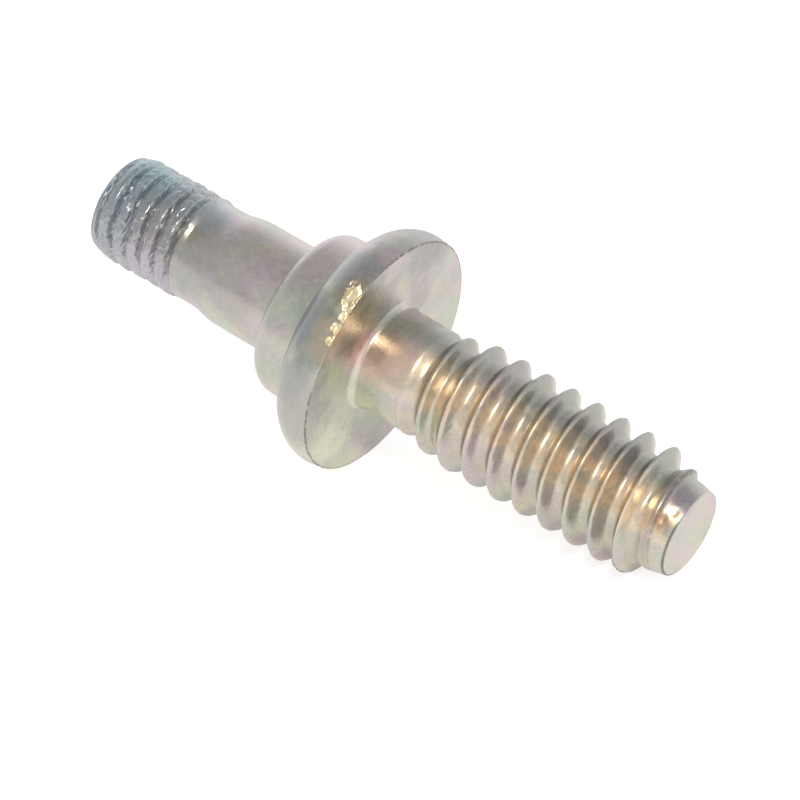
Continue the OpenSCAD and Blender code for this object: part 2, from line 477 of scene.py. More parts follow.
@dataclass
class CollarAndSeat:
    """The shoulder, the collar, the seat flange with its rim and face, and the neck's fillet."""

    flange_d: float = 17.588
    rim_flare: float = 0.124
    rim_len: float = 1.01
    rim_back_r: float = 2.7
    back_slope: float = 22.0
    collar_d: float = 12.1
    shoulder_at: float = 7.05
    collar_round_r: float = 1.2
    collar_fillet_r: float = 0.3
    shank_d: float = 8.0
    shank_fillet_r: float = 0.2
    neck_d: float = 7.54
    neck_fillet_r: float = 0.5
    edge_r: float = 0.09
    # Distance from the axis at which nicks start, and the width over which they reach their depth
    nick_from: float = 7.6
    nick_fade: float = 0.6
    nicks: tuple[Nick, ...] = (
        Nick(-0.95, 213.6, 0.3, 0.3, 0.09), Nick(-0.45, 215.4, 0.34, 0.34, 0.12),
        Nick(-0.1, 217.4, 0.22, 0.3, 0.08), Nick(-0.3, 228.2, 0.2, 0.3, 0.05),
        Nick(-0.5, 237.3, 0.22, 0.3, 0.05), Nick(-0.3, 258.2, 0.2, 0.3, 0.04),
        Nick(-0.1, 274.7, 0.2, 0.3, 0.04), Nick(-0.5, 40.0, 0.3, 0.35, 0.08),
        Nick(-0.6, 98.0, 0.3, 0.35, 0.08),
    )

    def build(self, skin: Skin) -> None:
        """Adds the collar, flange and seat face to the surface.

        Args:
            skin: The surface.
        """
        flange_r, collar_r = self.flange_d / 2, self.collar_d / 2
        shank_r, neck_r = self.shank_d / 2, self.neck_d / 2
        seat_r = flange_r - self.rim_flare
        slope = math.radians(self.back_slope)
        round_end_r = flange_r - self.rim_back_r * (1 - math.sin(slope))
        round_end = self.rim_len + self.rim_back_r * math.cos(slope)
        back_foot = round_end + (round_end_r - collar_r) * math.tan(slope)
        cut = self.collar_fillet_r * math.tan((math.pi / 2 - slope) / 2)
        f, c = self.shank_fillet_r, self.collar_round_r
        skin.follow(arc(shank_r + f, -self.shoulder_at - f, f, 180, 90, 4))
        skin.follow(line((shank_r + f, -self.shoulder_at), (collar_r - c, -self.shoulder_at), 3)[:-1])
        skin.follow(arc(collar_r - c, c - self.shoulder_at, c, -90, 0, 12))
        skin.follow(line((collar_r, c - self.shoulder_at), (collar_r, -back_foot - cut), 7)[:-1])
        skin.follow(arc(collar_r + self.collar_fillet_r, -back_foot - cut, self.collar_fillet_r, 180,
                        90 + self.back_slope, 6))
        back_from = (collar_r + 0.1, -back_foot + 0.1 * math.tan(slope))
        skin.follow(line(back_from, (round_end_r, -round_end), 5)[1:-1])
        skin.follow(arc(flange_r - self.rim_back_r, -self.rim_len, self.rim_back_r,
                        self.back_slope - 90, 0, 22))
        skin.follow(line((flange_r, -self.rim_len), (seat_r, 0), 8)[:-1])
        # The small round on the seat's sharp edge
        e = self.edge_r
        skin.follow([(seat_r + 0.004, -e * 0.8), (seat_r - 0.012, -e * 0.3), (seat_r - e * 0.35, -0.008),
                     (seat_r - e, 0)])
        fillet = neck_r + self.neck_fillet_r
        skin.follow(line((seat_r - e, 0), (fillet + 0.06, 0), 14))
        skin.follow(arc(fillet, self.neck_fillet_r, self.neck_fillet_r, 270, 180, 8))

    def wear(self, radius: np.ndarray, place: np.ndarray, angle: np.ndarray) -> np.ndarray:
        """Cuts the nicks into the rim.

        Args:
            radius: Distances from the axis, in mm.
            place: Places along the screw, in mm.
            angle: Angles round it, in degrees.

        Returns:
            The worn distances.
        """
        for nick in self.nicks:
            deepened = share((radius - self.nick_from) / self.nick_fade)
            radius = radius - nick.cut(place, angle, radius) * deepened
        return radius


@dataclass
class CoarseEnd:
    """The neck, the coarse thread and the tapered tip with its end face."""

    neck_d: float = 7.54
    neck_len: float = 3.8
    neck_fillet_r: float = 0.5
    # A hair under the CAD's crest, whose flat facets lie inside its circle
    coarse_d: float = 9.04
    first_root_d: float = 6.74
    coarse_root_d: float = 7.5
    last_root_d: float = 6.6
    pitch: float = 2.04
    thread_len: float = 20.2
    rise: float = 3.4
    dip: float = 0.8
    deep: float = 2.4
    fall: float = 1.9
    turn: float = 76.0
    lap: float = 0.4
    form_mid: float = 0.62
    tip_len: float = 1.1
    tip_d: float = 6.16
    edge_r: float = 0.12
    # How deep the wear of the crests goes, the distance from the axis at which it starts, and the height
    # over which it reaches its depth
    worn: float = 0.05
    worn_from: float = 4.2
    worn_fade: float = 0.25
    # How far the last turn's ridge leans back from its helix, as a share of the pitch, with how far before
    # the fall that starts and the length over which it grows
    last_lean: float = 0.14
    lean_before: float = 0.6
    lean_len: float = 1.6
    # Rings on the end face, as shares of its radius
    face_rings: tuple[float, ...] = (0.92, 0.84, 0.7, 0.45, 0.2)
    rows: tuple[float, ...] = both_sides(
        (0.012, 0.035, 0.06, 0.09, 0.13, 0.175, 0.22, 0.26, 0.3, 0.34, 0.39, 0.45))
    # The seam in the crest: its depth and width, as shares of the thread's height and pitch, and the place
    # where it ends, with the length over which it fades
    seam_depth: float = 0.09
    seam_width: float = 0.035
    seam_end: float = 9.5
    seam_fade: float = 4.0
    nicks: tuple[Nick, ...] = (
        Nick(24.5, 216.0, 0.22, 0.3, 0.06), Nick(24.45, 238.0, 0.22, 0.3, 0.06),
        Nick(24.1, 229.0, 0.2, 0.3, 0.05),
    )

    def crest_place(self) -> float:
        """Returns the place of the thread's first crest at angle 0, in mm."""
        return self.neck_len - self.lap + self.pitch * (self.form_mid - self.turn / 360)

    def build(self, skin: Skin) -> None:
        """Adds the neck, thread and tip to the surface.

        Args:
            skin: The surface.
        """
        neck_r, crest_r, tip_r = self.neck_d / 2, self.coarse_d / 2, self.tip_d / 2
        first_r, root_r, last_r = self.first_root_d / 2, self.coarse_root_d / 2, self.last_root_d / 2
        skin.follow(line((neck_r, self.neck_fillet_r), (neck_r, self.neck_len), 8))
        start, tip_at = self.neck_len, self.neck_len + self.thread_len
        thread = RolledThread(self.pitch, self.crest_place(), root_half=0.26, crest_half=0.07, round_by=0.12,
                              foot_round=1.0, rows=self.rows)
        dips = (start, start + self.dip, start + self.deep, start + self.deep + self.dip, tip_at)

        def shape(place: np.ndarray, offset: np.ndarray) -> np.ndarray:
            """Gives the thread's radius, with the seam of the rolled crest where it rises.

            Args:
                place: Places along the screw, in mm.
                offset: Distances from the crest, as shares of the pitch.

            Returns:
                Radii in mm.
            """
            root = np.interp(place, dips, (neck_r, first_r, first_r, root_r, last_r))
            crest = np.interp(place, (start, start + self.rise, tip_at - self.fall, tip_at),
                              (neck_r, crest_r, crest_r, last_r))
            ending = share((place - tip_at + self.fall + self.lean_before) / self.lean_len)
            height = thread.form(offset + self.last_lean * ending, ending)
            seam = self.seam_depth * np.exp(-(offset / self.seam_width) ** 2)
            seam = seam * share((self.seam_end - place) / self.seam_fade)
            return root + (crest - root) * (height - seam)

        end_ring = skin.ring(last_r, tip_at)
        thread.build(skin, end_ring, start, tip_at, shape)
        end = tip_at + self.tip_len
        slope = math.degrees(math.atan2(last_r - tip_r, self.tip_len))
        r = self.edge_r
        skin.follow(line((last_r, tip_at), (tip_r, end), 10)[:-1])
        back = r * math.tan(math.radians(90 - slope) / 2)
        skin.follow(arc(tip_r - back, end - r, r, slope, 90, 4))
        skin.follow([(tip_r * k, end) for k in self.face_rings])
        skin.tip(end)

    def wear(self, radius: np.ndarray, place: np.ndarray, angle: np.ndarray) -> np.ndarray:
        """Makes the crests a little uneven and cuts the nicks beside the tip.

        Args:
            radius: Distances from the axis, in mm.
            place: Places along the screw, in mm.
            angle: Angles round it, in degrees.

        Returns:
            The worn distances.
        """
        near_crest = share((radius - self.worn_from) / self.worn_fade)
        radius = radius - self.worn * near_crest * share(0.4 + wave(place, angle, size=0.9, seed=11.0))
        for nick in self.nicks:
            radius = radius - nick.cut(place, angle, radius)
        return radius


@dataclass
class CollarScrew:
    """The whole screw, lying on the edge of its seat and on a crest of its coarse thread."""

    fine_end: FineEnd = field(default_factory=FineEnd)
    shank: Shank = field(default_factory=Shank)
    collar: CollarAndSeat = field(default_factory=CollarAndSeat)
    coarse_end: CoarseEnd = field(default_factory=CoarseEnd)
    tilt: float = 11.045737940
    seat_height: float = 8.509384367
    seat_x: float = -0.987439957
    # Edges sharper than this are not shaded smooth, in degrees
    sharp_from: float = 50
    # The places between which each sub-assembly wears the surface, and the coarse thread's least radius there
    fine_margin: float = 0.2
    rim_reach: tuple[float, float] = (-3.5, 0.05)
    coarse_from: float = 4.0
    coarse_least: float = 2.9

    def axes(self) -> tuple[np.ndarray, np.ndarray, np.ndarray]:
        """Gives the screw's directions in the frame of the CAD model.

        Returns:
            The directions of its axis, of its underside and of the side at 90 degrees.
        """
        t = math.radians(self.tilt)
        return (np.array([math.cos(t), 0.0, -math.sin(t)]), np.array([-math.sin(t), 0.0, -math.cos(t)]),
                np.array([0.0, 1.0, 0.0]))

    def seat_centre(self) -> np.ndarray:
        """Returns the middle of the seat face, in mm."""
        return np.array([self.seat_x, 0.0, self.seat_height])

    def build(self) -> bpy.types.Object:
        """Builds the screw as one mesh.

        Returns:
            The piece, in metres in the frame of the CAD model.
        """
        skin = Skin()
        self.fine_end.build(skin)
        self.shank.build(skin, self.collar.shoulder_at, self.collar.shank_fillet_r)
        self.collar.build(skin)
        self.coarse_end.build(skin)
        radius, place, angle = skin.arrays()
        fine = place < -self.fine_end.start - self.fine_margin
        radius[fine] = self.fine_end.wear(radius[fine], place[fine], angle[fine])
        rim = (place < self.rim_reach[1]) & (place > self.rim_reach[0])
        radius[rim] = self.collar.wear(radius[rim], place[rim], angle[rim])
        thread = (place > self.coarse_from) & (radius > self.coarse_least)
        radius[thread] = self.coarse_end.wear(radius[thread], place[thread], angle[thread])
        axis, under, side = self.axes()
        turn = np.radians(angle)[:, None]
        points = (self.seat_centre() + place[:, None] * axis
                  + radius[:, None] * (np.cos(turn) * under + np.sin(turn) * side)) * MM
        mesh = bpy.data.meshes.new("collar_screw_surface")
        mesh.from_pydata(points.tolist(), [], skin.faces)
        mesh.validate()
        mesh.shade_smooth()
        mesh.set_sharp_from_angle(angle=math.radians(self.sharp_from))
        piece = bpy.data.objects.new("screw_body", mesh)
        bpy.context.scene.collection.objects.link(piece)
        log.info("screw_body: %d points, %d faces", len(mesh.vertices), len(mesh.polygons))
        return piece


class Kind(Enum):
    """Kinds of sockets that a group or a Mix node can have."""

    VALUE = "NodeSocketFloat"
    COLOUR = "NodeSocketColor"
    VECTOR = "NodeSocketVector"


# A Mix node's type of data, with the numbers of its first, second and output sockets for it
MIX_SOCKETS = {Kind.COLOUR: ("RGBA", 6, 7, 2), Kind.VECTOR: ("VECTOR", 4, 5, 1)}


class Nodes:
    """Adds and links the nodes of one tree."""

    def __init__(self, tree: bpy.types.NodeTree) -> None:
        """Keeps the tree."""
        self.tree = tree

    def feed(self, socket: Socket, value: object) -> None:
        """Links a socket to another one or sets its value.

        Args:
            socket: The socket that is fed.
            value: Another socket, a number, a vector, or a colour without its alpha.
        """
        if isinstance(value, Socket):
            self.tree.links.new(value, socket)
        elif socket.type == "RGBA":
            socket.default_value = (*value, 1.0)
        else:
            socket.default_value = value

    def add(self, kind: str, label: str = "", inputs: dict[str | int, object] | None = None,
            **settings: object) -> bpy.types.Node:
        """Adds a node.

        Args:
            kind: The node's type name.
            label: What it is for.
            inputs: What feeds its inputs, by their names or numbers.
            settings: Properties to set on it.

        Returns:
            The node.
        """
        node = self.tree.nodes.new(kind)
        node.label = label
        for name, value in settings.items():
            setattr(node, name, value)
        for name, value in (inputs or {}).items():
            self.feed(node.inputs[name], value)
        return node

    def math(self, operation: str, a: object, b: object = 0.0) -> Socket:
        """Adds a Math node for two sockets or numbers and returns its output."""
        return self.add("ShaderNodeMath", inputs={0: a, 1: b}, operation=operation).outputs[0]

    def plus(self, a: object, b: object) -> Socket:
        """Adds two sockets or numbers together."""
        return self.math("ADD", a, b)

    def times(self, first: object, *more: object) -> Socket:
        """Multiplies sockets or numbers.

        Args:
            first: The first one.
            more: The ones that it is multiplied by, in order.

        Returns:
            The product's socket.
        """
        for value in more:
            first = self.math("MULTIPLY", first, value)
        return first

    def between(self, value: Socket, low: float, high: float) -> Socket:
        """Turns the values from low to high into 0 to 1, smoothly."""
        return self.add("ShaderNodeMapRange", "", {"Value": value, "From Min": low, "From Max": high},
                        interpolation_type="SMOOTHSTEP").outputs["Result"]

    def mix(self, factor: object, a: object, b: object, kind: Kind = Kind.COLOUR,
            mode: str = "MIX") -> Socket:
        """Adds a Mix node, in which b covers a as far as the factor says, and returns its output."""
        data, first, second, output = MIX_SOCKETS[kind]
        return self.add("ShaderNodeMix", "", {0: factor, first: a, second: b}, data_type=data,
                        blend_type=mode).outputs[output]

    def noise(self, vector: Socket, pattern: Pattern, label: str) -> Socket:
        """Adds a Noise Texture that is read at a vector and returns its value."""
        scale, detail, rough = pattern
        return self.add("ShaderNodeTexNoise", label, {
            "Vector": vector, "Scale": scale, "Detail": detail, "Roughness": rough}).outputs[0]

    def bump(self, label: str, height: object, distance: float, strength: float = 1.0,
             normal: Socket | None = None) -> Socket:
        """Adds a Bump node.

        Args:
            label: What it is for.
            height: Its height.
            distance: How high a height of 1 stands, in mm.
            strength: Its strength.
            normal: The normal that it bends, or None for the surface's own.

        Returns:
            The bent normal.
        """
        node = self.add("ShaderNodeBump", label, {
            "Strength": strength, "Distance": distance * MM, "Height": height})
        if normal is not None:
            self.feed(node.inputs["Normal"], normal)
        return node.outputs[0]


def new_material(name: str) -> tuple[bpy.types.Material, Nodes]:
    """Starts a material.

    Args:
        name: Its name.

    Returns:
        The material and a helper for its nodes.
    """
    material = bpy.data.materials.new(name)
    material.use_nodes = True
    material.node_tree.nodes.clear()
    return material, Nodes(material.node_tree)


def new_group(name: str, inputs: dict[str, tuple[Kind, object]],
              outputs: dict[str, Kind]) -> tuple[Nodes, bpy.types.Node, bpy.types.Node]:
    """Starts a shader node group.

    Args:
        name: Its name.
        inputs: Its inputs, with kind and default.
        outputs: Its outputs.

    Returns:
        A helper for its nodes, and its input and output nodes.
    """
    group = bpy.data.node_groups.new(name, "ShaderNodeTree")
    for title, (kind, default) in inputs.items():
        socket = group.interface.new_socket(name=title, in_out="INPUT", socket_type=kind.value)
        if kind is Kind.COLOUR:
            socket.default_value = (*default, 1.0)
        elif kind is Kind.VALUE:
            socket.default_value = default
    for title, kind in outputs.items():
        group.interface.new_socket(name=title, in_out="OUTPUT", socket_type=kind.value)
    nodes = Nodes(group)
    return nodes, nodes.add("NodeGroupInput"), nodes.add("NodeGroupOutput")


@dataclass(frozen=True)
class ScrewCoordinates:
    """Group that gives the place along the screw, the distance from its axis and the direction round it."""

    screw: CollarScrew
    # The least distance from the axis that a direction is divided by, in mm
    least_radius: float = 0.01

    def build(self) -> bpy.types.NodeTree:
        """Makes the group, whose lengths are in mm.

        Returns:
            The group.
        """
        n, _, out = new_group("screw_coordinates", {}, {
            "Local": Kind.VECTOR, "Along": Kind.VALUE, "Radius": Kind.VALUE, "Down": Kind.VALUE,
            "Side": Kind.VALUE, "Crest": Kind.VALUE})
        spot = n.add("ShaderNodeTexCoord").outputs["Object"]
        away = n.add("ShaderNodeVectorMath", "from the seat centre",
                     {0: spot, 1: self.screw.seat_centre() * MM}, operation="SUBTRACT")
        local = n.add("ShaderNodeVectorMath", "in millimetres", {0: away.outputs[0], "Scale": 1 / MM},
                      operation="SCALE")
        along, down, side = (
            n.add("ShaderNodeVectorMath", name, {0: local.outputs[0], 1: axis},
                  operation="DOT_PRODUCT").outputs["Value"]
            for name, axis in zip(("along", "down", "side"), self.screw.axes()))
        radius = n.math("SQRT", n.plus(n.times(down, down), n.times(side, side)))
        safe = n.math("MAXIMUM", radius, self.least_radius)
        turned = n.add("ShaderNodeCombineXYZ", "turned to the screw", {0: down, 1: side, 2: along})
        # How far the place is from the helix of the coarse crest, from -0.5 to 0.5 of the pitch
        thread = self.screw.coarse_end
        turns = n.math("SUBTRACT", n.math("DIVIDE", along, thread.pitch),
                       n.math("DIVIDE", n.math("ARCTAN2", side, down), 2 * math.pi))
        from_crest = n.math("FRACT", n.plus(turns, 0.5 - thread.crest_place() / thread.pitch))
        for name, value in (("Local", turned.outputs[0]), ("Along", along), ("Radius", radius),
                            ("Down", n.math("DIVIDE", down, safe)), ("Side", n.math("DIVIDE", side, safe)),
                            ("Crest", n.math("SUBTRACT", from_crest, 0.5))):
            n.feed(out.inputs[name], value)
        return n.tree


@dataclass(frozen=True)
class Tint:
    """One colour of the film.

    Attributes:
        name: Its name, which the group's input for its amount has too.
        colour: Its colour.
        scale: The scale of its patches.
        limits: The values of the noise between which a patch starts and is full.
    """

    name: str
    colour: Colour
    scale: float
    limits: Limits


@dataclass(frozen=True)
class PassivationTint:
    """Group that gives the uneven lilac, green and gold of a thin passivation film."""

    tints: tuple[Tint, ...] = (
        Tint("Green", (0.62, 0.70, 0.55), 0.3, (0.4, 0.62)),
        Tint("Lilac", (0.74, 0.58, 0.65), 0.42, (0.42, 0.64)),
        Tint("Gold", (0.78, 0.68, 0.44), 0.55, (0.48, 0.68)),
    )
    # How far the patterns lie apart, for a scale of 1
    apart: tuple[float, float, float] = (40, 7, 19)
    detail: float = 2.0
    rough: float = 0.45

    def build(self) -> bpy.types.NodeTree:
        """Makes the group.

        Returns:
            The group.
        """
        n, given, out = new_group("passivation_tint", {
            "Local": (Kind.VECTOR, None), "Base": (Kind.COLOUR, (0.66, 0.64, 0.62)),
            "Lilac": (Kind.VALUE, 0.5), "Green": (Kind.VALUE, 0.5), "Gold": (Kind.VALUE, 0.3)},
            {"Colour": Kind.COLOUR})
        colour = given.outputs["Base"]
        for tint in self.tints:
            place = tuple(tint.scale * step for step in self.apart)
            moved = n.add("ShaderNodeMapping", tint.name + " patches",
                          {"Vector": given.outputs["Local"], "Location": place})
            pattern = n.noise(moved.outputs[0], (tint.scale, self.detail, self.rough), tint.name)
            amount = n.times(n.between(pattern, *tint.limits), given.outputs[tint.name])
            colour = n.mix(amount, colour, tint.colour)
        n.feed(out.inputs["Colour"], colour)
        return n.tree


@dataclass(frozen=True)
class Patch:
    """A soft round patch of the surface, with a ragged edge.

    Attributes:
        place: Where its middle is along the screw, in mm.
        angle: Where its middle is round the screw, in degrees.
        radius: How far its middle is from the axis, in mm.
        reach: How far it reaches, in mm.
        strength: How strongly it shows, from 0 to 1.
    """

    place: float
    angle: float
    radius: float
    reach: float
    strength: float

    def mask(self, n: Nodes, group: bpy.types.NodeTree, local: Socket) -> Socket:
        """Places the patch in a material.

        Args:
            n: The material's nodes.
            group: The group that patch_group made.
            local: The place on the screw.

        Returns:
            Its mask.
        """
        turn = math.radians(self.angle)
        return n.add("ShaderNodeGroup", "patch", {
            "Local": local, "Reach": self.reach, "Strength": self.strength,
            "Centre": (self.radius * math.cos(turn), self.radius * math.sin(turn), self.place),
        }, node_tree=group).outputs["Mask"]


@dataclass(frozen=True)
class TintAndShadeZone(Patch):
    """A patch of one colour: in some a film tint, in others painted shade and painted reflections.

    Attributes:
        colour: Its colour.
    """

    colour: Colour


# A patch's edge: its noise, how far that moves it, and the shares of the reach where it is empty and full
EDGE_NOISE = (0.8, 3.0, 0.55)
RAGGEDNESS = 0.9
EDGE_LIMITS = (1.0, 0.3)


def patch_group() -> bpy.types.NodeTree:
    """Makes the group that gives the mask of one patch.

    Returns:
        The group.
    """
    n, given, out = new_group("soft_patch_mask", {
        "Local": (Kind.VECTOR, None), "Centre": (Kind.VECTOR, None), "Reach": (Kind.VALUE, 2.0),
        "Strength": (Kind.VALUE, 0.5)}, {"Mask": Kind.VALUE})
    local = given.outputs["Local"]
    away = n.add("ShaderNodeVectorMath", "distance from its middle", {0: local, 1: given.outputs["Centre"]},
                 operation="DISTANCE")
    reached = n.math("DIVIDE", away.outputs["Value"], given.outputs["Reach"])
    ragged = n.times(n.math("SUBTRACT", n.noise(local, EDGE_NOISE, "ragged edge"), 0.5), RAGGEDNESS)
    mask = n.between(n.plus(reached, ragged), *EDGE_LIMITS)
    n.feed(out.inputs["Mask"], n.times(mask, given.outputs["Strength"]))
    return n.tree


@dataclass(frozen=True)
class PlatingGrain:
    """Group that gives the mottle, the speckle and the fine bumps of the plating."""

    mottle: Pattern = (2.2, 5.0, 0.65)
    fine: Pattern = (9.0, 3.0, 0.6)
    marks: Pattern = (1.6, 3.0, 0.6)
    speckle: Pattern = (6.0, 3.0, 0.7)
    # How the marks of turning are drawn out round the screw
    marks_scale: tuple[float, float, float] = (0.5, 0.5, 7.0)

    def build(self) -> bpy.types.NodeTree:
        """Makes the group.

        Returns:
            The group.
        """
        n, given, out = new_group("plating_grain", {"Local": (Kind.VECTOR, None)},
                                  {"Mottle": Kind.VALUE, "Height": Kind.VALUE, "Speckle": Kind.VALUE})
        local = given.outputs["Local"]
        drawn_out = n.add("ShaderNodeMapping", "turning marks", {"Vector": local, "Scale": self.marks_scale})
        fine = n.noise(local, self.fine, "fine grain")
        marks = n.noise(drawn_out.outputs[0], self.marks, "turning marks")
        n.feed(out.inputs["Mottle"], n.noise(local, self.mottle, "mottle"))
        n.feed(out.inputs["Speckle"], n.noise(local, self.speckle, "speckle"))
        n.feed(out.inputs["Height"], n.plus(n.times(fine, 0.5), n.times(marks, 0.5)))
        return n.tree


class Finish:
    """What the parts of the finish read: coordinates, grain, named places and masks of the two threads."""

    def __init__(self, n: Nodes, screw: CollarScrew) -> None:
        """Places the shared groups in a material.

        Args:
            n: The material's nodes.
            screw: The screw that it dresses.
        """
        self.n, self.screw = n, screw
        self.where = n.add("ShaderNodeGroup", "screw coordinates", node_tree=ScrewCoordinates(screw).build())
        self.local, self.along, self.radius, self.crest = (
            self.where.outputs[name] for name in ("Local", "Along", "Radius", "Crest"))
        self.grain = n.add("ShaderNodeGroup", "plating grain", {"Local": self.local},
                           node_tree=PlatingGrain().build())
        self.mottle = self.grain.outputs["Mottle"]
        self.patches = patch_group()
        fine, coarse = screw.fine_end, screw.coarse_end
        self.fine_face, self.fine_start = -(fine.start + fine.thread_len + fine.chamfer_len), -fine.start
        self.coarse_start, tip_start = coarse.neck_len, coarse.neck_len + coarse.thread_len
        self.end_face = tip_start + coarse.tip_len
        self.fine = self.past(self.fine_start, 0.1, -1.1)
        self.coarse = n.times(self.past(self.coarse_start, -0.2, 1.7), self.past(tip_start, 0.6, -0.8))

    def past(self, place: float, empty: float, full: float) -> Socket:
        """Masks what lies past a place, from where it is empty to where it is full, in mm."""
        return self.n.between(self.along, place + empty, place + full)

    def beyond(self, diameter: float, empty: float, full: float) -> Socket:
        """Masks what lies outside a diameter, from where it is empty to where it is full, in mm."""
        return self.n.between(self.radius, diameter / 2 + empty, diameter / 2 + full)

    def towards(self, angle: float) -> Socket:
        """Gives 1 on the side at an angle in degrees, down to -1 on the opposite side."""
        turn = math.radians(angle)
        return self.n.plus(self.n.times(self.where.outputs["Down"], math.cos(turn)),
                           self.n.times(self.where.outputs["Side"], math.sin(turn)))


